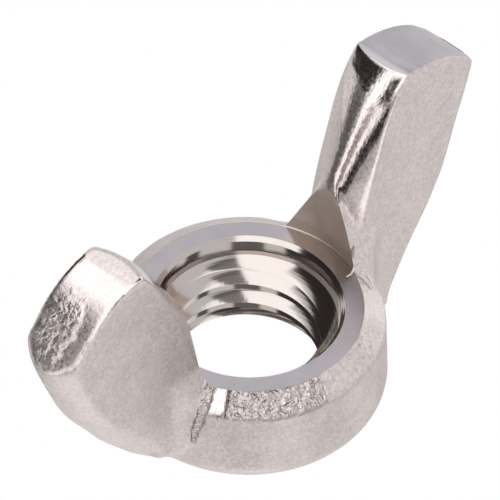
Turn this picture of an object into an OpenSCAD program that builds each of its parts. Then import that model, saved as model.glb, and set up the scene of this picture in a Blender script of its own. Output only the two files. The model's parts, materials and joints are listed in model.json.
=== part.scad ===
// Wing nut, square-wing form: a short threaded hub with two flat wings that lean outward.
// The bore's axis is Z, the bearing face is z = 0, and the wings stand along X.

/* [Thread] */
// Nominal diameter of the metric thread, mm
thread_d = 10; // [8:0.1:12]
// Distance between neighbouring thread turns, mm
thread_pitch = 1.5; // [1:0.05:1.8]
// Depth of the smooth counterbore above the thread, mm
counterbore_depth = 1.15; // [0.6:0.05:2]
// Radial clearance of the counterbore around the bolt, mm
counterbore_clearance = 0.04; // [0.02:0.01:0.2]
// Radial width of the 45 degree chamfer at the bore's mouth, mm
mouth_chamfer = 0.4; // [0.2:0.05:0.8]
// Radial width of the 45 degree chamfer at the bearing face, past the thread, mm
bearing_chamfer = 0.2; // [0.1:0.05:0.6]

/* [Hub] */
// Wall of the hub outside the thread, mm
hub_wall = 2.95; // [2.4:0.05:4.5]
// Height of the hub from the bearing face to its turned top, mm
hub_h = 6.2; // [5:0.1:8]
// Radial width of the turned land around the bore's mouth, mm
land_w = 1.12; // [0.8:0.02:1.6]
// Drop of the forged shoulder outside the turned land, mm
shoulder_drop = 0.85; // [0.4:0.05:1.6]
// Draft that the hub's wall loses on its way up to the shoulder, mm
hub_draft = 0.2; // [0.05:0.05:0.4]
// Radius of the rounded edge around the bearing face, mm
base_round = 1.5; // [0.4:0.05:2]

/* [Wings] */
// Height of the nut from the bearing face to the wings' inner tip corners, mm
wing_top = 18; // [14:0.05:22]
// Thickness between a wing's two flat faces, mm
wing_t = 3.9; // [3:0.05:4.6]
// Width of a wing across its end, from inner to outer corner, mm
wing_tip_w = 6.4; // [5:0.05:7.5]
// Gap between the turning tool's sweep and the inner edge of a wing's flat face, mm
wing_root_gap = 0.3; // [0.1:0.05:0.8]
// Lean of the inner face from upright at the hub's top, degrees
inner_lean = 9; // [4:1:14]
// Radius of the inner face's outward bend, mm
inner_bend_r = 42; // [36:1:70]
// Lean of the outer face from upright at the tip, degrees
outer_lean = 16; // [14:1:24]
// Radius of the outer face's bow, mm
outer_bow_r = 36; // [34:1:60]
// Slope of the end face, falling outward, degrees
end_slope = 26.5; // [18:0.5:32]
// Rise of the end face's arch above its two corners, mm
end_arch = 0.5; // [0.2:0.05:0.9]
// Bulge of the inner face across the wing's thickness, mm
inner_crown = 0.75; // [0.3:0.05:1]
// Bulge of the outer face across the wing's thickness, mm
outer_crown = 0.8; // [0.3:0.05:1.4]
// Height of the wing's root above the bearing face, mm
wing_lift = 0.6; // [0.2:0.05:1.5]

/* [Hidden] */
$fn = 144;

steel = [0.75, 0.73, 0.71];
overcut = 1;

// Basic profile of the ISO metric thread: 60 degree flanks, cut to 5/8 of their full height.
// The bore is drawn at the thread's minor radius, and its turns are left out.
flank_angle = 30;
thread_depth = 5 / 8 * (thread_pitch / 2) / tan(flank_angle);
major_r = thread_d / 2;
minor_r = major_r - thread_depth;

counterbore_r = major_r + counterbore_clearance;
mouth_r = counterbore_r + mouth_chamfer;
bearing_r = major_r + bearing_chamfer;
trim_r = mouth_r + land_w;
hub_r = major_r + hub_wall;

// The inner face's edge on the flat faces, an arc whose centre lies outward of it
root_x = trim_r + wing_root_gap;
inner_centre = [root_x + inner_bend_r * cos(inner_lean), hub_h - inner_bend_r * sin(inner_lean)];
tip_rise = (wing_top - inner_centre[1]) / inner_bend_r;
tip_in = [inner_centre[0] - inner_bend_r * cos(asin(tip_rise)), wing_top];
tip_out = tip_in + wing_tip_w * [cos(end_slope), -sin(end_slope)];

// The outer face's edge on the flat faces, an arc whose centre lies inward of it
outer_centre = tip_out - outer_bow_r * [cos(outer_lean), -sin(outer_lean)];

// The end face's arch, a cylinder across both end corners
end_r = (wing_tip_w * wing_tip_w / 4 + end_arch * end_arch) / (2 * end_arch);
end_centre = (tip_in + tip_out) / 2 - (end_r - end_arch) * [sin(end_slope), cos(end_slope)];

// Rim radius that gives a bulge across the wing's thickness
function crown_r(bulge) = (wing_t * wing_t / 4 + bulge * bulge) / (2 * bulge);

// Tapping bore, counterbore and the two chamfers, as one tool
module bore_cut() {
    rotate_extrude()
        polygon([
            [0, -overcut],
            [bearing_r + overcut, -overcut],
            [minor_r, bearing_r - minor_r],
            [minor_r, hub_h - counterbore_depth],
            [counterbore_r, hub_h - counterbore_depth],
            [counterbore_r, hub_h - mouth_chamfer],
            [mouth_r + overcut, hub_h + overcut],
            [0, hub_h + overcut]
        ]);
}

// Solid hub before it is bored: rounded at the bearing face, sloped at the shoulder
module hub_blank() {
    rotate_extrude()
        difference() {
            polygon([
                [0, 0],
                [hub_r, 0],
                [hub_r, base_round],
                [hub_r - hub_draft, hub_h - shoulder_drop],
                [trim_r, hub_h],
                [0, hub_h]
            ]);
            translate([hub_r - base_round, 0])
                difference() {
                    square([base_round + overcut, base_round]);
                    translate([0, base_round])
                        circle(r = base_round);
                }
        }
}

// Barrel whose rim is an arc across the wing's thickness, its axis along Y
module barrel(centre, edge_r, bulge) {
    rim_r = crown_r(bulge);
    translate([centre[0], 0, centre[1]])
        rotate([90, 0, 0])
            rotate_extrude()
                intersection() {
                    translate([0, -wing_t])
                        square([edge_r + 2 * bulge, 2 * wing_t]);
                    union() {
                        translate([edge_r + bulge - rim_r, 0])
                            circle(r = rim_r);
                        translate([0, -wing_t])
                            square([edge_r + bulge - rim_r, 2 * wing_t]);
                    }
                }
}

// One wing, on the +X side: a slab bounded by two crowned faces and an arched end
module wing() {
    reach = tip_out[0] + 2 * outer_crown;
    intersection() {
        translate([0, -wing_t / 2, wing_lift])
            cube([reach, wing_t, wing_top + inner_crown]);
        barrel(inner_centre, inner_bend_r, inner_crown);
        barrel(outer_centre, outer_bow_r, outer_crown);
        translate([end_centre[0], 0, end_centre[1]])
            rotate([90, 0, 0])
                cylinder(r = end_r, h = 2 * wing_t, center = true);
    }
}

// Space that the turning tool sweeps above the hub's top
module turning_sweep() {
    translate([0, 0, hub_h])
        cylinder(r = trim_r, h = wing_top);
}

module wing_nut() {
    color(steel)
        difference() {
            union() {
                hub_blank();
                wing();
                mirror([1, 0, 0]) wing();
            }
            turning_sweep();
            bore_cut();
        }
}

wing_nut();
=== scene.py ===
import json
import math

import bmesh
import bpy
from mathutils import Matrix, Vector, noise


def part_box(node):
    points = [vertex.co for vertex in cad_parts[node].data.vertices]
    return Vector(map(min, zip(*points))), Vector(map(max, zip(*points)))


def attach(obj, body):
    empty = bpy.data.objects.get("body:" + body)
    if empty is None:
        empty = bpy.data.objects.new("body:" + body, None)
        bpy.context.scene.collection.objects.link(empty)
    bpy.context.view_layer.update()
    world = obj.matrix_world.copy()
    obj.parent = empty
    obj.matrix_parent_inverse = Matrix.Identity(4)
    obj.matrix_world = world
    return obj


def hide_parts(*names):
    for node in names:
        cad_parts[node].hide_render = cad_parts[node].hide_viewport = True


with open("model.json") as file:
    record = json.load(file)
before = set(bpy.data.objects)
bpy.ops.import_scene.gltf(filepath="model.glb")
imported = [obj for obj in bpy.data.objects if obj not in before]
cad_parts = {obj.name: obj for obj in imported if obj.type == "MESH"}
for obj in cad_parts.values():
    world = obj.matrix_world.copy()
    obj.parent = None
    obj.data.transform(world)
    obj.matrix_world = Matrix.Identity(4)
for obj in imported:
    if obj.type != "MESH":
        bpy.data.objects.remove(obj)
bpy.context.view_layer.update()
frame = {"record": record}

# Everything is modelled in millimetres and brought to metres when it is finished
METRE = 1000.0
NODE = "wing_nut"

# Driving sizes of the nut, mm
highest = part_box(NODE)[1]
HUB_R = round(highest[1] * METRE, 2)
NUT_H = round(highest[2] * METRE, 2)
HUB_H = 6.2
WING_HALF = 1.94
thread_mount = next(m for m in frame["record"]["mounts"] if m["kind"] == "threaded_hole")
MINOR_R = thread_mount["dims"]["r_mm"]
MAJOR_R = 5.0
PITCH = 1.5
THREAD_ANGLE = math.radians(60)

# The bore opens in a counterbore and a chamfered mouth, and the turned land runs round it
COUNTERBORE_R = MAJOR_R + 0.04
COUNTERBORE_DEPTH = 1.15
MOUTH_R = COUNTERBORE_R + 0.4
LAND_WIDTH = 1.12
LAND_R = MOUTH_R + LAND_WIDTH


# ---------------------------------------------------------------- bench helpers

def only(obj):
    """Leaves the object mode with one object selected and active."""
    if bpy.context.mode != "OBJECT":
        bpy.ops.object.mode_set(mode="OBJECT")
    bpy.ops.object.select_all(action="DESELECT")
    obj.select_set(True)
    bpy.context.view_layer.objects.active = obj


def start(name, add, **size):
    """A new primitive, alone in the selection, named for the piece it becomes."""
    if bpy.context.mode != "OBJECT":
        bpy.ops.object.mode_set(mode="OBJECT")
    bpy.ops.object.select_all(action="DESELECT")
    add(**size)
    obj = bpy.context.active_object
    obj.name = name
    obj.data.name = name
    bpy.ops.object.transform_apply(location=True, rotation=True, scale=True)
    return obj


def pick(obj, kind, test):
    """Selects, in edit mode, the vertices, edges or faces that a test on the place accepts."""
    bpy.context.view_layer.objects.active = obj
    if bpy.context.mode != "EDIT_MESH":
        bpy.ops.object.mode_set(mode="EDIT")
    bpy.ops.mesh.select_mode(type=kind)
    bpy.ops.mesh.select_all(action="DESELECT")
    mesh = bmesh.from_edit_mesh(obj.data)
    group = {"VERT": mesh.verts, "EDGE": mesh.edges, "FACE": mesh.faces}[kind]
    for item in group:
        if test(item):
            item.select_set(True)
    mesh.select_flush_mode()
    bmesh.update_edit_mesh(obj.data)


def modify(obj, kind, **settings):
    """Adds one modifier with its settings and applies it."""
    only(obj)
    modifier = obj.modifiers.new(kind.lower(), kind)
    for key, value in settings.items():
        setattr(modifier, key, value)
    bpy.ops.object.modifier_apply(modifier=modifier.name)


def cut(obj, tool, operation="DIFFERENCE"):
    """Machines the object with a tool solid, which leaves its own finish on what it cuts."""
    modify(obj, "BOOLEAN", operation=operation, object=tool, solver="EXACT", material_mode="TRANSFER")
    bpy.data.objects.remove(tool)


def smooth(low, high, value):
    """Eases from 0 to 1 as the value goes from low to high."""
    share = min(1.0, max(0.0, (value - low) / (high - low)))
    return share * share * (3 - 2 * share)


def mid(item):
    """Middle of an edge or a face."""
    points = [v.co for v in item.verts]
    return sum(points, Vector()) / len(points)


def outline(name, points, closed):
    """A chain of edges in the XZ plane, drawn point by point from one vertex."""
    shape = start(name, bpy.ops.mesh.primitive_plane_add, size=1)
    pick(shape, "VERT", lambda v: True)
    bpy.ops.mesh.merge(type="CENTER")
    bpy.ops.transform.translate(value=(points[0][0], 0, points[0][1]))
    for (x0, z0), (x1, z1) in zip(points, points[1:]):
        bpy.ops.mesh.extrude_vertices_move(TRANSFORM_OT_translate={"value": (x1 - x0, 0, z1 - z0)})
    bpy.ops.mesh.select_all(action="SELECT")
    if closed:
        bpy.ops.mesh.edge_face_add()
    return shape


def plate(name, points, depth):
    """A solid plate along Y whose side view is the closed outline."""
    solid = outline(name, points, True)
    bpy.ops.transform.translate(value=(0, -depth / 2, 0))
    bpy.ops.mesh.extrude_region_move(TRANSFORM_OT_translate={"value": (0, depth, 0)})
    bpy.ops.mesh.select_all(action="SELECT")
    bpy.ops.mesh.normals_make_consistent(inside=False)
    bpy.ops.object.mode_set(mode="OBJECT")
    return solid


# ---------------------------------------------------------------- forging

# Stations up a wing, mm: height, inner edge, outer edge, inner crown, outer crown, half thickness
WING_LEFT = [
    (0.5, 5.0, 6.2, 0.3, 1.9, 1.98),
    (2.0, 5.2, 7.8, 0.3, 1.95, 1.97),
    (3.4, 5.4, 8.95, 0.3, 2.0, 1.96),
    (5.0, 5.7, 10.4, 0.5, 1.85, 1.95),
    (6.6, 5.95, 11.75, 0.9, 1.55, 1.95),
    (8.7, 6.55, 13.4, 1.2, 1.3, 1.95),
    (11.2, 7.4, 14.6, 1.3, 1.2, 1.94),
    (13.3, 8.25, 15.4, 1.0, 1.2, 1.94),
    (15.1, 9.1, 15.95, 0.75, 1.15, 1.94),
    (16.7, 9.9, 16.4, 0.6, 1.05, 1.94),
    (18.6, 11.3, 16.9, 0.5, 1.0, 1.94),
]
WING_RIGHT = [
    (0.2, 5.0, 9.75, 0.3, 0.5, 2.0),
    (1.4, 5.3, 10.2, 0.3, 0.7, 1.98),
    (3.1, 5.7, 11.1, 0.5, 0.8, 1.97),
    (4.6, 6.3, 12.1, 0.9, 0.9, 1.96),
    (6.4, 6.95, 13.4, 1.2, 0.9, 1.95),
    (8.5, 7.4, 14.4, 1.25, 0.85, 1.95),
    (11.0, 7.95, 15.2, 1.2, 0.8, 1.94),
    (13.0, 8.5, 15.9, 0.9, 0.75, 1.94),
    (15.1, 9.1, 16.5, 0.6, 0.7, 1.94),
    (17.0, 10.05, 16.85, 0.5, 0.65, 1.94),
    (18.6, 11.5, 17.2, 0.45, 0.6, 1.94),
]
STATION_STEP = 0.5
CROWN_CUTS = 13

# The hub: fall of its shoulder below the land, draft of its wall and round of its lower edge, mm
SHOULDER_DROP = 0.85
HUB_DRAFT = 0.2
FOOT_ROUND = 1.5

# Where wing and hub meet: radius of the fillets in plan, and how far the gusset that carries them
# reaches inside the wing's inner face up to one height, and not at all from the other, mm
ROOT_FILLET = 2.2
GUSSET_REACH = 0.9
GUSSET_REACH_ENDS = (6.4, 9.5)

# The arches that the wings' ends are struck to: centre in X and Z and radius, mm, their first and
# last point in degrees off the vertical, and the fall of the straight run-out beyond them
LEFT_ARCH = (10.9, HUB_H + 6.45, 5.35)
LEFT_ARCH_TURNS = (-60, 55)
LEFT_RUN_OUT = math.radians(46)
RIGHT_ARCH = (9.75, HUB_H + 2.5, 9.2)
RIGHT_ARCH_TURNS = (-30, 50)
RIGHT_RUN_OUT = math.radians(50)

# Grain of the remeshed forging, mm
FORGING_GRAIN = 0.13


def forge_hub():
    """Upset ring with a rounded lower edge and a sloping shoulder, still solid and uncut."""
    shoulder_z = HUB_H - SHOULDER_DROP
    spare = 0.5
    top_r = LAND_R - 0.75
    hub = start("hub_blank", bpy.ops.mesh.primitive_cylinder_add, vertices=192, radius=HUB_R,
                depth=shoulder_z, location=(0, 0, shoulder_z / 2))
    pick(hub, "EDGE", lambda e: mid(e).z < 0.01 and all(v.co.xy.length > 1 for v in e.verts))
    bpy.ops.mesh.bevel(offset=FOOT_ROUND, segments=8, profile=0.5)
    pick(hub, "FACE", lambda f: f.normal.z > 0.9)
    draft = (HUB_R - HUB_DRAFT) / HUB_R
    bpy.ops.transform.resize(value=(draft, draft, 1))
    bpy.ops.mesh.extrude_region_move(TRANSFORM_OT_translate={"value": (0, 0, SHOULDER_DROP + spare)})
    slope = top_r / (HUB_R - HUB_DRAFT)
    bpy.ops.transform.resize(value=(slope, slope, 1))
    bpy.ops.object.mode_set(mode="OBJECT")
    return hub


def smooth_stations(table):
    """Stations a small step apart, on smooth curves through the ones in the table."""
    def slope(k, column):
        a, b = table[max(k - 1, 0)], table[min(k + 1, len(table) - 1)]
        return (b[column] - a[column]) / (b[0] - a[0])

    rows = []
    for k, (low, high) in enumerate(zip(table, table[1:])):
        span = high[0] - low[0]
        steps = max(1, round(span / STATION_STEP))
        for i in range(steps):
            t = i / steps
            row = [low[0] + t * span]
            for column in range(1, len(low)):
                row.append((2 * t ** 3 - 3 * t ** 2 + 1) * low[column]
                           + (t ** 3 - 2 * t ** 2 + t) * span * slope(k, column)
                           + (3 * t ** 2 - 2 * t ** 3) * high[column]
                           + (t ** 3 - t ** 2) * span * slope(k + 1, column))
            rows.append(tuple(row))
    return rows + [table[-1]]


def forge_wing(name, table, side, extra=0.0):
    """Drawn-out bar with flat broad faces and crowned inner and outer faces, lofted upwards."""
    stations = [row[:5] + (row[5] + extra,) for row in smooth_stations(table)]
    height, inner, outer, dip, bulge, half = stations[0]
    wing = start(name, bpy.ops.mesh.primitive_plane_add, size=2)
    pick(wing, "VERT", lambda v: True)
    bpy.ops.transform.resize(value=((outer - inner) / 2, half, 1))
    bpy.ops.transform.translate(value=((outer + inner) / 2, 0, height))
    pick(wing, "EDGE", lambda e: abs(e.verts[0].co.x - e.verts[1].co.x) < 1e-4)
    bpy.ops.mesh.subdivide(number_cuts=CROWN_CUTS)

    # The crowns start as arcs across the thickness
    for row in range(1, CROWN_CUTS + 1):
        y = half * (2 * row / (CROWN_CUTS + 1) - 1)
        share = 1 - (y / half) ** 2
        for edge_x, push in ((inner, -dip * share), (outer, bulge * share)):
            pick(wing, "VERT", lambda v: abs(v.co.y - y) < 1e-3 and abs(v.co.x - edge_x) < 1e-3)
            bpy.ops.transform.translate(value=(push, 0, 0))

    for last, station in zip(stations, stations[1:]):
        loft_station(wing, last, station)
    only(wing)
    if side < 0:
        wing.rotation_euler.z = math.pi
        bpy.ops.object.transform_apply(location=True, rotation=True, scale=True)
    return wing


def loft_station(wing, last, station):
    """Extrudes the top of the wing to the next station and reshapes it there."""
    z0, in0, out0, dip0, bulge0, half0 = last
    z1, in1, out1, dip1, bulge1, half1 = station
    # One half of the top waits out here while the other is reshaped
    aside = 100
    pick(wing, "FACE", lambda f: all(abs(v.co.z - z0) < 1e-3 for v in f.verts))
    bpy.ops.mesh.extrude_region_move(TRANSFORM_OT_translate={"value": (0, 0, z1 - z0)})
    bpy.ops.transform.resize(value=(1, half1 / half0, 1), center_override=(0, 0, z1))
    centre = (in0 + out0) / 2
    for edge_x, new_x, grow, outward in ((in0, in1, dip1 / dip0, False),
                                         (out0, out1, bulge1 / bulge0, True)):
        pick(wing, "VERT", lambda v: abs(v.co.z - z1) < 1e-3 and v.co.x < aside / 2
             and (v.co.x > centre) == outward)
        bpy.ops.transform.resize(value=(grow, 1, 1), center_override=(edge_x, 0, z1))
        bpy.ops.transform.translate(value=(new_x - edge_x + aside, 0, 0))
    pick(wing, "VERT", lambda v: v.co.x > aside / 2)
    bpy.ops.transform.translate(value=(-aside, 0, 0))


def forge_gusset(name, table, side):
    """Fillets in plan between a wing's broad faces and the hub's wall, under the wing's own outline."""
    half = table[3][5]
    reach = HUB_R + ROOT_FILLET
    centre_y = half + ROOT_FILLET
    centre_x = math.sqrt(reach ** 2 - centre_y ** 2)
    inward = [(row[0], row[1] - GUSSET_REACH * (1 - smooth(*GUSSET_REACH_ENDS, row[0]))) + row[2:]
              for row in table]
    gusset = forge_wing(name, inward, 1, extra=1.6)
    # Seen along X the block is a roof that slopes from the wing's face down to the hub's shoulder
    roof = [(0, 2), (1.9, 2), (3.2, 3.5), (3.2, 4.9), (0, 12), (-3.2, 4.9), (-3.2, 3.5), (-1.9, 2)]
    inside = 5.2
    block = plate("gusset_block", roof, centre_x - inside)
    block.rotation_euler.z = math.pi / 2
    block.location.x = (centre_x + inside) / 2
    bpy.ops.object.transform_apply(location=True, rotation=True, scale=True)
    for way in (-1, 1):
        cut(block, start("fillet_cutter", bpy.ops.mesh.primitive_cylinder_add, vertices=128,
                         radius=ROOT_FILLET, depth=20, location=(centre_x, way * centre_y, 4)))
    cut(gusset, block, "INTERSECT")
    if side < 0:
        only(gusset)
        gusset.rotation_euler.z = math.pi
        bpy.ops.object.transform_apply(location=True, rotation=True, scale=True)
    return gusset


def arch_points(centre_x, centre_z, radius, first, last):
    """Points along an arc, from one angle off the vertical to another."""
    steps = 60
    turns = [math.radians(first + (last - first) * i / steps) for i in range(steps + 1)]
    return [(centre_x + radius * math.sin(t), centre_z + radius * math.cos(t)) for t in turns]


def end_die(name, arch, turns, run_out, side):
    """Plate whose top is the arch that a wing's end is struck to, with a straight run-out."""
    arch = arch_points(*arch, *turns)
    end_x, end_z = arch[-1]
    reach = 6
    arch.append((end_x + reach * math.cos(run_out), end_z - reach * math.sin(run_out)))
    points = arch + [(arch[-1][0], -2), (0, -2), (0, arch[0][1])]
    return plate(name, [(side * x, z) for x, z in points], 12)


def relax(obj, name, rule, passes):
    """Lets the metal round off where the rule says, more where its answer is nearer to 1."""
    group = obj.vertex_groups.new(name=name)
    for vertex in obj.data.vertices:
        weight = rule(vertex.co)
        if weight > 0.01:
            group.add([vertex.index], weight, "REPLACE")
    modify(obj, "SMOOTH", factor=0.5, iterations=passes, vertex_group=name)


def soft_edge_at(p):
    """Where the die let the metal run round: the wings' outer edges and the left wing's end rim."""
    if p.z < 1:
        return 0.0
    table = WING_LEFT if p.x < 0 else WING_RIGHT
    outer = along(table, p.z, 2)
    edge = math.hypot(abs(p.x) - outer, (abs(p.y) - WING_HALF) * 0.8)
    weight = 1 - smooth(0.5, 1.3, edge)
    if p.x < 0 and p.z > HUB_H + 6:
        centre_x, centre_z, radius = LEFT_ARCH
        sunk = 0.08
        rim = math.hypot(-p.x - centre_x, p.z - centre_z + sunk) - radius
        weight = max(weight, 0.6 * (1 - smooth(0.3, 1.0, abs(rim))))
    return weight


def root_at(p):
    """The fillets between the wings' broad faces and the hub's wall."""
    along_wing = smooth(6.9, 7.5, p.xy.length) * (1 - smooth(9.6, 10.6, abs(p.x)))
    across_wing = smooth(1.2, 1.9, abs(p.y)) * (1 - smooth(3.6, 4.6, abs(p.y)))
    upwards = smooth(0.3, 1.0, p.z) * (1 - smooth(HUB_H + 0.5, HUB_H + 3, p.z))
    return along_wing * across_wing * upwards


def ruffle(obj, name, rule, grain, height):
    """Roughens the surface with real bumps where the rule says."""
    group = obj.vertex_groups.new(name=name)
    for vertex in obj.data.vertices:
        weight = rule(vertex.co)
        if weight > 0.01:
            group.add([vertex.index], weight, "REPLACE")
    texture = bpy.data.textures.new(name, "CLOUDS")
    texture.noise_scale = grain
    texture.noise_depth = 1
    modify(obj, "DISPLACE", texture=texture, strength=height, mid_level=0.5, vertex_group=name,
           texture_coords="LOCAL", direction="NORMAL")


def along(table, height, column):
    """One column of a wing's stations at any height."""
    for low, high in zip(table, table[1:]):
        if height <= high[0]:
            share = max(0.0, (height - low[0]) / (high[0] - low[0]))
            return low[column] + share * (high[column] - low[column])
    return table[-1][column]


def forge_blank():
    """Hub and both wings as one lump, with the soft corners that a die leaves."""
    blank = forge_hub()
    left = forge_wing("wing_left", WING_LEFT, -1)
    cut(left, end_die("left_end_die", LEFT_ARCH, LEFT_ARCH_TURNS, LEFT_RUN_OUT, -1), "INTERSECT")
    right = forge_wing("wing_right", WING_RIGHT, 1)
    cut(right, end_die("right_end_die", RIGHT_ARCH, RIGHT_ARCH_TURNS, RIGHT_RUN_OUT, 1), "INTERSECT")
    gussets = [forge_gusset("gusset_left", WING_LEFT, -1), forge_gusset("gusset_right", WING_RIGHT, 1)]
    for lump in [left, right] + gussets:
        cut(blank, lump, "UNION")
    modify(blank, "REMESH", mode="VOXEL", voxel_size=FORGING_GRAIN, use_smooth_shade=True)
    modify(blank, "SMOOTH", factor=0.5, iterations=4)
    relax(blank, "soft_edges", soft_edge_at, 25)
    relax(blank, "roots", root_at, 60)
    ruffle(blank, "torn", torn_at, 0.3, 0.16)
    return blank


# ---------------------------------------------------------------- machining

# Lips of metal pushed up at the right wing's root by the turning cut, mm above the land
ROOT_BURR = [(6.15, -2.4, 1.95), (6.25, -2.25, 1.4), (6.3, -2.2, 0.8), (6.25, -2.3, 0.4),
             (6.1, -2.5, 0.12), (5.75, -2.58, 0.0), (5.4, -2.5, -0.03)]
ROOT_LIP = [(6.0, -2.72, 0.02), (6.3, -2.95, -0.03), (6.4, -3.2, -0.12), (6.3, -3.55, -0.25),
            (6.1, -3.95, -0.4)]


def lathe_tool(name, points, steps=256):
    """Solid of revolution about the bore: a chain of (radius, height) points, spun once."""
    tool = outline(name, points, False)
    bpy.ops.mesh.spin(steps=steps, angle=2 * math.pi, center=(0, 0, 0), axis=(0, 0, 1))
    bpy.ops.mesh.select_all(action="SELECT")
    bpy.ops.mesh.remove_doubles(threshold=0.0005)
    bpy.ops.mesh.normals_make_consistent(inside=False)
    bpy.ops.object.mode_set(mode="OBJECT")
    return tool


def turning_tool():
    """Facing cut over the hub, which also trims the wings' roots to a cylinder."""
    nose = 0.07
    return lathe_tool("turning_tool", [
        (0, HUB_H), (LAND_R - nose, HUB_H), (LAND_R, HUB_H + nose), (LAND_R, NUT_H + 3), (0, NUT_H + 3)])


def end_dresser():
    """Punch that leaves the right wing's end a crisp, flat-struck arch."""
    centre_x, centre_z, radius = RIGHT_ARCH
    bite = 0.03
    arch = arch_points(centre_x, centre_z, radius - bite, *RIGHT_ARCH_TURNS)
    return plate("end_punch", arch + [(arch[-1][0], NUT_H + 3), (arch[0][0], NUT_H + 3)], 12)


def burr(name, path, radius):
    """A raised lip of metal along a chain of points above the land, thickest in the middle."""
    lip = start(name, bpy.ops.mesh.primitive_plane_add, size=1)
    pick(lip, "VERT", lambda v: True)
    bpy.ops.mesh.merge(type="CENTER")
    bpy.ops.transform.translate(value=(path[0][0], path[0][1], path[0][2] + HUB_H))
    for a, b in zip(path, path[1:]):
        bpy.ops.mesh.extrude_vertices_move(
            TRANSFORM_OT_translate={"value": (b[0] - a[0], b[1] - a[1], b[2] - a[2])})
    bpy.ops.object.mode_set(mode="OBJECT")
    only(lip)
    lip.modifiers.new("skin", "SKIN")
    last = len(path) - 1
    for i, point in enumerate(lip.data.skin_vertices[0].data):
        thick = radius * (0.45 + 0.55 * math.sin(math.pi * i / last))
        point.radius = (thick, thick)
    bpy.ops.object.modifier_apply(modifier="skin")
    modify(lip, "SUBSURF", levels=2, render_levels=2)
    return lip


def boring_tool():
    """Drill, counterbore with a narrow ledge, lead-in to the thread and chamfered mouth in one solid."""
    wall_r = COUNTERBORE_R + 0.16
    floor_z = HUB_H - COUNTERBORE_DEPTH
    ledge = 0.14
    lead_in = 0.45
    cone_r = wall_r - ledge - lead_in
    chamfer = MOUTH_R - wall_r
    return lathe_tool("boring_tool", [
        (0, -1), (MAJOR_R + 1.2, -1), (MINOR_R, MAJOR_R + 0.2 - MINOR_R),
        (MINOR_R, floor_z - lead_in - 0.2), (cone_r, floor_z - lead_in), (wall_r - ledge, floor_z),
        (wall_r, floor_z), (wall_r, HUB_H - chamfer), (MOUTH_R + 1, HUB_H + 1), (0, HUB_H + 1)])


def tap():
    """Helical ridge that cuts the thread: one tooth outline carried round by a screw."""
    steps_per_turn = 96
    turns = 6
    flank = math.tan(THREAD_ANGLE / 2)
    floor = PITCH / 8
    inner = MINOR_R - 0.16
    mouth = floor / 2 + flank * (MAJOR_R - inner)
    low = -1.4 * PITCH
    ridge = [(inner, -mouth), (MAJOR_R - 0.05, -floor / 2 - 0.03), (MAJOR_R, -floor / 2 + 0.05),
             (MAJOR_R, floor / 2 - 0.05), (MAJOR_R - 0.05, floor / 2 + 0.03), (inner, mouth)]
    tooth = outline("tap", [(radius, low + height) for radius, height in ridge], False)
    bpy.ops.mesh.edge_face_add()
    bpy.ops.mesh.delete(type="ONLY_FACE")
    bpy.ops.object.mode_set(mode="OBJECT")
    modify(tooth, "SCREW", screw_offset=PITCH * turns, angle=2 * math.pi * turns,
           steps=steps_per_turn * turns, render_steps=steps_per_turn * turns, axis="Z",
           use_merge_vertices=False)
    pick(tooth, "EDGE", lambda e: len(e.link_faces) == 1)
    bpy.ops.mesh.fill_holes(sides=0)
    bpy.ops.mesh.select_all(action="SELECT")
    bpy.ops.mesh.normals_make_consistent(inside=False)
    bpy.ops.object.mode_set(mode="OBJECT")
    return tooth


# ---------------------------------------------------------------- finishes

# The colour sockets of a Mix node
COLOR_A, COLOR_B, COLOR_OUT = 6, 7, 2


def srgb(code):
    """Linear colour of an sRGB hex code."""
    shares = [int(code[i:i + 2], 16) / 255 for i in (0, 2, 4)]
    return [c / 12.92 if c <= 0.04045 else ((c + 0.055) / 1.055) ** 2.4 for c in shares] + [1.0]


def add(tree, kind, inputs=None, **settings):
    """One shader node with its settings, and its sockets either linked or given a value."""
    item = tree.nodes.new(kind)
    for key, value in settings.items():
        setattr(item, key, value)
    for key, value in (inputs or {}).items():
        if isinstance(value, bpy.types.NodeSocket):
            tree.links.new(value, item.inputs[key])
        else:
            item.inputs[key].default_value = value
    return item


def steel(name):
    """An empty metal material: its tree, its shader and the object's own coordinates."""
    material = bpy.data.materials.new(name)
    material.use_nodes = True
    tree = material.node_tree
    shader = tree.nodes["Principled BSDF"]
    shader.inputs["Metallic"].default_value = 1.0
    place = add(tree, "ShaderNodeTexCoord").outputs["Object"]
    return material, tree, shader, place


def per_mm(size):
    """Scale that gives a pattern cell of a size in millimetres."""
    return METRE / size


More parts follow.
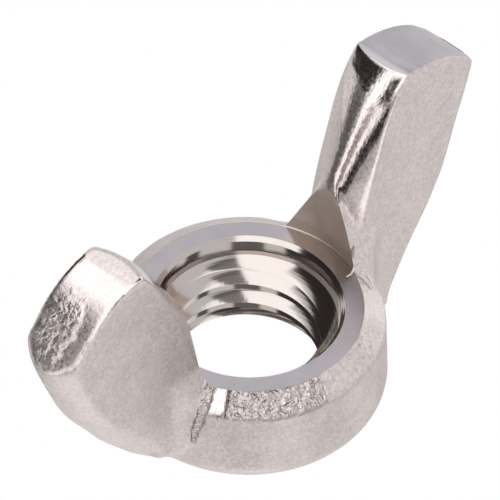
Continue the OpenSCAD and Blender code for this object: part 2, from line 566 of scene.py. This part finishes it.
def tumbled_forged_steel():
    """Stainless steel, cold forged and barrel tumbled: a soft warm grey with a fine peened grain."""
    material, tree, shader, place = steel("tumbled_forged_steel")
    burnish = add(tree, "ShaderNodeAttribute", attribute_name="burnish").outputs["Fac"]
    torn = add(tree, "ShaderNodeAttribute", attribute_name="torn").outputs["Fac"]
    # The real grain is finer than 0.1 mm; drawn at 0.2 mm so that it shows
    grain = add(tree, "ShaderNodeTexNoise", {"Vector": place, "Scale": per_mm(0.2), "Detail": 4.0,
                                             "Roughness": 0.65}).outputs["Fac"]
    patches = add(tree, "ShaderNodeTexNoise", {"Vector": place, "Scale": per_mm(1.4), "Detail": 3.0,
                                               "Roughness": 0.6}).outputs["Fac"]

    # Light and dark mottling, and a duller colour where the metal tore
    fine = add(tree, "ShaderNodeMath", {0: grain, 1: 0.85}, operation="MULTIPLY").outputs["Value"]
    broad = add(tree, "ShaderNodeMath", {0: patches, 1: 0.25}, operation="MULTIPLY").outputs["Value"]
    cloudy = add(tree, "ShaderNodeMath", {0: fine, 1: broad}, operation="ADD").outputs["Value"]
    mottle = add(tree, "ShaderNodeMapRange", {"Value": cloudy, "From Min": 0.42, "From Max": 0.68})
    skin = add(tree, "ShaderNodeMix", {"Factor": mottle.outputs["Result"], COLOR_A: srgb("BDB4B3"),
                                       COLOR_B: srgb("D6CDCB")}, data_type="RGBA").outputs[COLOR_OUT]
    dulled = add(tree, "ShaderNodeMath", {0: torn, 1: 0.4}, operation="MULTIPLY").outputs["Value"]
    tinted = add(tree, "ShaderNodeMix", {"Factor": dulled, COLOR_A: skin, COLOR_B: srgb("A8A2A0")},
                 data_type="RGBA").outputs[COLOR_OUT]
    tree.links.new(tinted, shader.inputs["Base Color"])

    # Satin where it was tumbled, and glossier where the die rubbed it or it tore
    matte = add(tree, "ShaderNodeMapRange", {"Value": grain, "From Min": 0.35, "From Max": 0.65,
                                             "To Min": 0.34, "To Max": 0.46}).outputs["Result"]
    bared = add(tree, "ShaderNodeMath", {0: torn, 1: 0.9}, operation="MULTIPLY").outputs["Value"]
    gloss = add(tree, "ShaderNodeMath", {0: burnish, 1: bared}, operation="MAXIMUM").outputs["Value"]
    gloss = add(tree, "ShaderNodeMath", {0: gloss, 1: -0.27}, operation="MULTIPLY").outputs["Value"]
    rough = add(tree, "ShaderNodeMath", {0: matte, 1: gloss}, operation="ADD").outputs["Value"]
    tree.links.new(rough, shader.inputs["Roughness"])

    # Relief: the peened grain, the crumbs of torn metal, and the die's scratches along a wing's end.
    # The real crumbs and scratches are up to twice as fine, and are drawn coarser so that they show
    stretch = add(tree, "ShaderNodeMapping", {"Vector": place,
                                              "Scale": (0.25, 1.0, 0.5)}).outputs["Vector"]
    scratch = add(tree, "ShaderNodeTexNoise", {"Vector": stretch, "Scale": per_mm(0.16),
                                               "Detail": 3.0}).outputs["Fac"]
    crumbs = add(tree, "ShaderNodeTexNoise", {"Vector": place, "Scale": per_mm(0.42), "Detail": 2.5,
                                              "Distortion": 0.6}).outputs["Fac"]
    polished = add(tree, "ShaderNodeMath", {0: burnish, 1: 0.9}, operation="MULTIPLY").outputs["Value"]
    peened = add(tree, "ShaderNodeMath", {0: 1.0, 1: polished}, operation="SUBTRACT").outputs["Value"]
    peened = add(tree, "ShaderNodeMath", {0: grain, 1: peened}, operation="MULTIPLY").outputs["Value"]
    jagged = add(tree, "ShaderNodeMath", {0: torn, 1: 14.0}, operation="MULTIPLY").outputs["Value"]
    jagged = add(tree, "ShaderNodeMath", {0: crumbs, 1: jagged}, operation="MULTIPLY").outputs["Value"]
    scored = add(tree, "ShaderNodeMath", {0: burnish, 1: 0.22}, operation="MULTIPLY").outputs["Value"]
    scored = add(tree, "ShaderNodeMath", {0: scratch, 1: scored}, operation="MULTIPLY").outputs["Value"]
    height = add(tree, "ShaderNodeMath", {0: peened, 1: jagged}, operation="ADD").outputs["Value"]
    height = add(tree, "ShaderNodeMath", {0: height, 1: scored}, operation="ADD").outputs["Value"]
    relief = add(tree, "ShaderNodeBump", {"Height": height, "Strength": 1.0, "Distance": 0.035 / METRE})
    tree.links.new(relief.outputs["Normal"], shader.inputs["Normal"])
    return material


def turned_steel(name, color, roughness, feed_marks):
    """Cut on a lathe: fine rings round the bore that spread the highlight a little."""
    material, tree, shader, place = steel(name)
    cloud = add(tree, "ShaderNodeTexNoise", {"Vector": place, "Scale": per_mm(1.1), "Detail": 3.0})
    shaded = [share * 0.8 for share in srgb(color)[:3]] + [1]
    tint = add(tree, "ShaderNodeMix", {"Factor": cloud.outputs["Fac"], COLOR_A: srgb(color),
                                       COLOR_B: shaded}, data_type="RGBA").outputs[COLOR_OUT]
    # Painted shade: the land darkens to a brownish tint at the right wing's foot, while the lower roughness
    # there is the real glossier rub
    rubbed_and_shade = add(tree, "ShaderNodeAttribute", attribute_name="rubbed_and_shade").outputs["Fac"]
    smear_and_shade = add(tree, "ShaderNodeMix", {"Factor": rubbed_and_shade, COLOR_A: tint, COLOR_B: srgb("A39A94")},
                data_type="RGBA").outputs[COLOR_OUT]
    tree.links.new(smear_and_shade, shader.inputs["Base Color"])
    rough = add(tree, "ShaderNodeMapRange", {"Value": rubbed_and_shade, "To Min": roughness,
                                             "To Max": roughness * 0.6}).outputs["Result"]
    tree.links.new(rough, shader.inputs["Roughness"])
    # Real feed marks are about 0.05 mm apart; drawn at 0.15 mm so that they show
    rings = add(tree, "ShaderNodeTexWave", {"Vector": place, "Scale": per_mm(0.15) * math.pi / 10,
                                            "Distortion": 0.6, "Detail": 2.0, "Detail Scale": 2.0},
                wave_type="RINGS", rings_direction="Z")
    bump = add(tree, "ShaderNodeBump", {"Height": rings.outputs["Fac"], "Strength": feed_marks,
                                        "Distance": 0.004 / METRE})
    tree.links.new(bump.outputs["Normal"], shader.inputs["Normal"])
    return material


def cut_thread_steel():
    """Bored and tapped with a sharp tool: nearly a mirror, with faint marks along the cut."""
    material, tree, shader, place = steel("cut_thread_steel")
    shader.inputs["Base Color"].default_value = srgb("B8B1AD")
    shader.inputs["Roughness"].default_value = 0.12
    # Real tool marks are about 0.03 mm apart; drawn at 0.12 mm so that they show
    marks = add(tree, "ShaderNodeTexWave", {"Vector": place, "Scale": per_mm(0.12) * math.pi / 10,
                                            "Distortion": 0.3, "Detail": 2.0, "Detail Scale": 1.0},
                wave_type="BANDS", bands_direction="Z")
    bump = add(tree, "ShaderNodeBump", {"Height": marks.outputs["Fac"], "Strength": 0.3,
                                        "Distance": 0.003 / METRE})
    tree.links.new(bump.outputs["Normal"], shader.inputs["Normal"])
    return material


def burnish_at(p, n):
    """How far the die has polished the skin: the wings' crowned inner faces and the left wing's end."""
    height = p.z - HUB_H
    side = 1 if p.x > 0 else -1
    # Towards the root the polish keeps to one side of the crown
    limit = 0.3 + 1.6 * smooth(6.5, 11.5, height)
    inner = smooth(0.25, 0.5, -side * n.x) * (1 - smooth(limit - 0.15, limit + 0.15, side * p.y))
    inner *= smooth(1.0, 4.0, height)
    end = 0.0
    if p.x < 0:
        end = smooth(0.3, 0.5, n.z) * smooth(5, 6, height) * (1 - 0.65 * smooth(12.3, 14.2, -p.x))
    angle = math.degrees(math.atan2(p.y, p.x)) % 360
    facet = smooth(203.5, 204.5, angle) * (1 - smooth(211, 213, angle)) * smooth(-1.1, -0.9, height) \
        * (1 - smooth(0.2, 0.5, height))
    return max(inner, end, facet)


# The metal tore along one side of the left wing's root: compass direction at the bottom and the top
CREASE_TURN = (200.6, 203.6)


def torn_at(p):
    """Where the metal tore or folded in the die: shoulder, crease and the left wing's end."""
    height = p.z - HUB_H
    if p.x < 0 and height > 5:
        ragged = 0.28 * noise.noise(p * 1.3) + 0.16 * noise.noise(p * 3.1)
        reach = math.hypot((p.x + 14.9) / 1.7, (p.y - 0.3) / 1.25) + ragged
        return 0.22 * (1 - smooth(0.6, 1.0, reach))
    angle = math.degrees(math.atan2(p.y, p.x)) % 360
    radius = p.xy.length
    ragged = noise.noise(p * 2.5)
    shoulder = smooth(LAND_R - 0.15, LAND_R, radius) * smooth(-1.15, -0.95, height + 0.15 * ragged) \
        * (1 - smooth(0.1, 0.3, height)) * smooth(212, 214, angle) * (1 - 0.8 * smooth(251, 262, angle)) \
        * (1 - smooth(292, 300, angle))
    turn = CREASE_TURN[0] + (CREASE_TURN[1] - CREASE_TURN[0]) * smooth(-3.0, -0.4, height)
    off = abs(math.radians(angle - turn) * radius + 0.1 * ragged)
    width = 0.06 + 0.13 * smooth(-3.4, -1.0, height)
    crease = (1 - smooth(width, width + 0.12, off)) * smooth(-3.5, -2.9, height) \
        * (1 - smooth(1.2, 1.7, height)) * smooth(5.8, 6.0, radius) * (1 - smooth(8.3, 8.6, radius))
    return max(shoulder, crease)


def rubbed_and_shade_at(p):
    """The arc of the land in front of the right wing, where the turning tool struck and left a glossier
    rub; its darker brownish colour there is painted shade at the foot of the wing.
    """
    angle = math.degrees(math.atan2(p.y, p.x))
    height = p.z - HUB_H
    return smooth(-30, -22, angle) * (1 - smooth(14, 24, angle)) * smooth(-0.5, -0.1, height) \
        * (1 - smooth(0.02, 0.07, height))


def paint(obj, name, rule):
    """Keeps a finish's strength at each point of the surface."""
    layer = obj.data.attributes.new(name, "FLOAT", "POINT")
    for vertex in obj.data.vertices:
        layer.data[vertex.index].value = rule(vertex)


# ---------------------------------------------------------------- studio

CAMERA_SIDE = math.radians(-48.94)
CAMERA_RISE = math.radians(46.75)
CAMERA_ROLL = math.radians(1.6)
CAMERA_DISTANCE = 0.4
# Width of what the camera takes in at the nut, and how far right of and above the middle of the
# bore's mouth it aims, m
FIELD = 27.902 / METRE
AIM_RIGHT = 0.108 / METRE
AIM_UP = 3.114 / METRE
SENSOR_WIDTH = 36

# The studio's panels and the gaps between them: compass direction from and to in degrees from +X,
# height from and to as the sine of the rise, and how bright or how dark each is
PANELS = [
    # Beyond the left wing: lights the right wing's inner face
    (163, 190, -0.6, 2, 1.0),
    (-190, -170, -0.6, 0.1, 1.0),
    (-190, -122, 0.3, 2, 1.0),
    # Low, above and below a gap: light the front of the counterbore's wall
    (-175, -100, -0.62, -0.3, 0.6),
    (-175, -100, -1.1, -0.84, 0.6),
    # Overhead, on all sides
    (60, 190, 0.8, 2, 1.0),
    (-190, 4, 0.8, 2, 0.9),
    (-190, 190, 0.9, 2, 0.9),
    # Behind the nut: lights the land and the left wing's end
    (18, 66, 0.6, 0.86, 0.6),
    # Low on the right: lights the left wing's inner face
    (-14, 12, 0.02, 0.36, 1.3),
    # Below the table's edge in front: lifts the near broad faces
    (-56, -22, -0.95, -0.45, 0.16),
]
GAPS = [
    # Behind on the left: the mouth's dark chamfer and the right wing's dark band
    (66, 162, 0.12, 0.71, 1.0),
    (138, 162, -0.3, 0.12, 0.86),
    # On the left: dark strips along the right wing's near edge
    (-168, -150, -0.55, 0.1, 1.0),
    (-190, -165, 0.1, 0.6, 1.0),
    (-150, -126, -0.55, 0.15, 0.5),
    # On the right: the shadow side of the left wing's inner face
    (-16, 10, 0.42, 0.9, 1.0),
    # High in front: dark patch on the thread's flanks
    (-122, -78, 0.72, 0.97, 0.85),
    # On the right: tones down the land and the hub's right side
    (8, 66, -0.55, 0.8, 0.1),
    (-20, 40, -0.85, -0.55, 0.35),
    # Below the table: dark blocks round the counterbore's wall
    (60, 176, -0.81, -0.64, 1.0),
    (-157, -116, -0.81, -0.64, 0.85),
    (-74, -53, -0.81, -0.64, 0.9),
]
# Softness of their edges: degrees in compass direction, and the sine of the rise
TURN_EDGE = 3.0
RISE_EDGE = 0.04


def light_tent():
    """White panels all round, with dark gaps between them that only reflections show."""
    world = bpy.data.worlds.new("light_tent")
    bpy.context.scene.world = world
    world.use_nodes = True
    tree = world.node_tree
    outward = add(tree, "ShaderNodeTexCoord").outputs["Generated"]
    direction = add(tree, "ShaderNodeSeparateXYZ", {"Vector": outward}).outputs
    turn = add(tree, "ShaderNodeMath", {0: direction["Y"], 1: direction["X"]}, operation="ARCTAN2")
    turn = add(tree, "ShaderNodeMath", {0: turn.outputs["Value"]}, operation="DEGREES").outputs["Value"]

    def patches(rows):
        """The strongest of several soft-edged windows of the sky, at each direction."""
        total = None
        for start_turn, end_turn, low, high, strength in rows:
            window = strength
            for value, edge, soft in ((turn, start_turn, TURN_EDGE), (turn, end_turn, -TURN_EDGE),
                                      (direction["Z"], low, RISE_EDGE), (direction["Z"], high, -RISE_EDGE)):
                step = add(tree, "ShaderNodeMapRange", {"Value": value, "From Min": edge - soft,
                                                        "From Max": edge + soft},
                           interpolation_type="SMOOTHSTEP").outputs["Result"]
                window = add(tree, "ShaderNodeMath", {0: window, 1: step},
                             operation="MULTIPLY").outputs["Value"]
            total = window if total is None else add(
                tree, "ShaderNodeMath", {0: total, 1: window}, operation="MAXIMUM").outputs["Value"]
        return total

    darkness = patches(GAPS)
    gain = patches(PANELS)
    direct = add(tree, "ShaderNodeLightPath").outputs["Is Camera Ray"]
    hidden = add(tree, "ShaderNodeMath", {0: 1.0, 1: direct}, operation="SUBTRACT").outputs["Value"]
    darkness = add(tree, "ShaderNodeMath", {0: darkness, 1: hidden}, operation="MULTIPLY").outputs["Value"]
    light = add(tree, "ShaderNodeMix", {"Factor": darkness, COLOR_A: srgb("FFFEFD"),
                                        COLOR_B: srgb("3A3634")}, data_type="RGBA").outputs[COLOR_OUT]
    background = tree.nodes["Background"]
    tree.links.new(light, background.inputs["Color"])
    shown = add(tree, "ShaderNodeMath", {0: gain, 1: hidden}, operation="MULTIPLY").outputs["Value"]
    strength = add(tree, "ShaderNodeMath", {0: shown, 1: 1.0}, operation="ADD").outputs["Value"]
    tree.links.new(strength, background.inputs["Strength"])


def floor_plate():
    """Pale floor that the camera sees; reflections pass through it to the panels below the table."""
    bpy.ops.object.select_all(action="DESELECT")
    bpy.ops.mesh.primitive_plane_add(size=4, location=(0, 0, -0.02 / METRE))
    floor = bpy.context.active_object
    floor.name = "floor"
    material = bpy.data.materials.new("white_glass_table")
    material.use_nodes = True
    tree = material.node_tree
    tree.nodes.remove(tree.nodes["Principled BSDF"])
    direct = add(tree, "ShaderNodeLightPath").outputs["Is Camera Ray"]
    under = add(tree, "ShaderNodeNewGeometry").outputs["Backfacing"]
    above = add(tree, "ShaderNodeMath", {0: 1.0, 1: under}, operation="SUBTRACT").outputs["Value"]
    direct = add(tree, "ShaderNodeMath", {0: direct, 1: above}, operation="MULTIPLY").outputs["Value"]
    white = add(tree, "ShaderNodeEmission", {"Color": srgb("FFFFFF"), "Strength": 1.0})
    clear = add(tree, "ShaderNodeBsdfTransparent")
    both = add(tree, "ShaderNodeMixShader", {0: direct, 1: clear.outputs["BSDF"],
                                             2: white.outputs["Emission"]})
    tree.links.new(both.outputs["Shader"], tree.nodes["Material Output"].inputs["Surface"])
    floor.data.materials.append(material)


def studio():
    """Light, floor and the camera, which looks down at the nut from in front on the left."""
    scene = bpy.context.scene
    scene.view_settings.view_transform = "Standard"
    light_tent()
    floor_plate()

    side, rise = CAMERA_SIDE, CAMERA_RISE
    back = Vector((math.sin(side) * math.cos(rise), -math.cos(side) * math.cos(rise), math.sin(rise)))
    right = Vector((math.cos(side), math.sin(side), 0))
    up = back.cross(right)
    turned_right = right * math.cos(CAMERA_ROLL) + up * math.sin(CAMERA_ROLL)
    turned_up = up * math.cos(CAMERA_ROLL) - right * math.sin(CAMERA_ROLL)
    bore_mouth = Vector((0, 0, HUB_H / METRE))
    aim = bore_mouth + turned_right * AIM_RIGHT + turned_up * AIM_UP
    position = bore_mouth + back * CAMERA_DISTANCE
    look = (position - aim).normalized()
    across = turned_up.cross(look).normalized()
    upward = look.cross(across)
    camera = bpy.data.objects.new("camera", bpy.data.cameras.new("camera"))
    scene.collection.objects.link(camera)
    camera.matrix_world = Matrix((
        (across.x, upward.x, look.x, position.x),
        (across.y, upward.y, look.y, position.y),
        (across.z, upward.z, look.z, position.z),
        (0, 0, 0, 1)))
    camera.data.sensor_width = SENSOR_WIDTH
    camera.data.lens = SENSOR_WIDTH * CAMERA_DISTANCE / FIELD
    scene.camera = camera


# ---------------------------------------------------------------- the nut

def wing_nut():
    """The whole nut: forged, struck, turned, bored, tapped and finished, at its place in metres."""
    nut = forge_blank()
    nut.data.materials.clear()
    nut.data.materials.append(tumbled_forged_steel())
    faced = turned_steel("faced_steel", "A09CA1", 0.26, 0.3)
    trimmed = turned_steel("trimmed_steel", "CFC1B8", 0.5, 0.3)
    struck = turned_steel("struck_end_steel", "BCB8BF", 0.36, 0.0)
    bright = cut_thread_steel()
    # Each tool leaves one finish on walls and one on flats
    for tool, wall, flat in ((end_dresser(), struck, struck), (turning_tool(), trimmed, faced),
                             (boring_tool(), bright, bright), (tap(), bright, bright)):
        tool.data.materials.append(wall)
        if flat is not wall:
            tool.data.materials.append(flat)
            for face in tool.data.polygons:
                face.material_index = 1 if abs(face.normal.z) > 0.9 else 0
        cut(nut, tool)
    lips = [burr("root_burr", ROOT_BURR, 0.12), burr("root_lip", ROOT_LIP, 0.09)]
    only(nut)
    for lip in lips:
        lip.data.materials.append(nut.data.materials[0])
        lip.select_set(True)
    bpy.ops.object.join()
    nut.name = "forged_wing_nut"
    nut.vertex_groups.clear()
    paint(nut, "burnish", lambda v: burnish_at(v.co, v.normal))
    paint(nut, "torn", lambda v: torn_at(v.co))
    # The land's glossier rub at the right wing's foot, which also darkens its colour there as painted shade
    paint(nut, "rubbed_and_shade", lambda v: rubbed_and_shade_at(v.co))
    only(nut)
    bpy.ops.object.shade_smooth_by_angle(angle=math.radians(35))
    nut.scale = (1 / METRE,) * 3
    bpy.ops.object.transform_apply(location=True, rotation=True, scale=True)
    return nut


studio()
nut = wing_nut()
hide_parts(NODE)
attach(nut, "root")
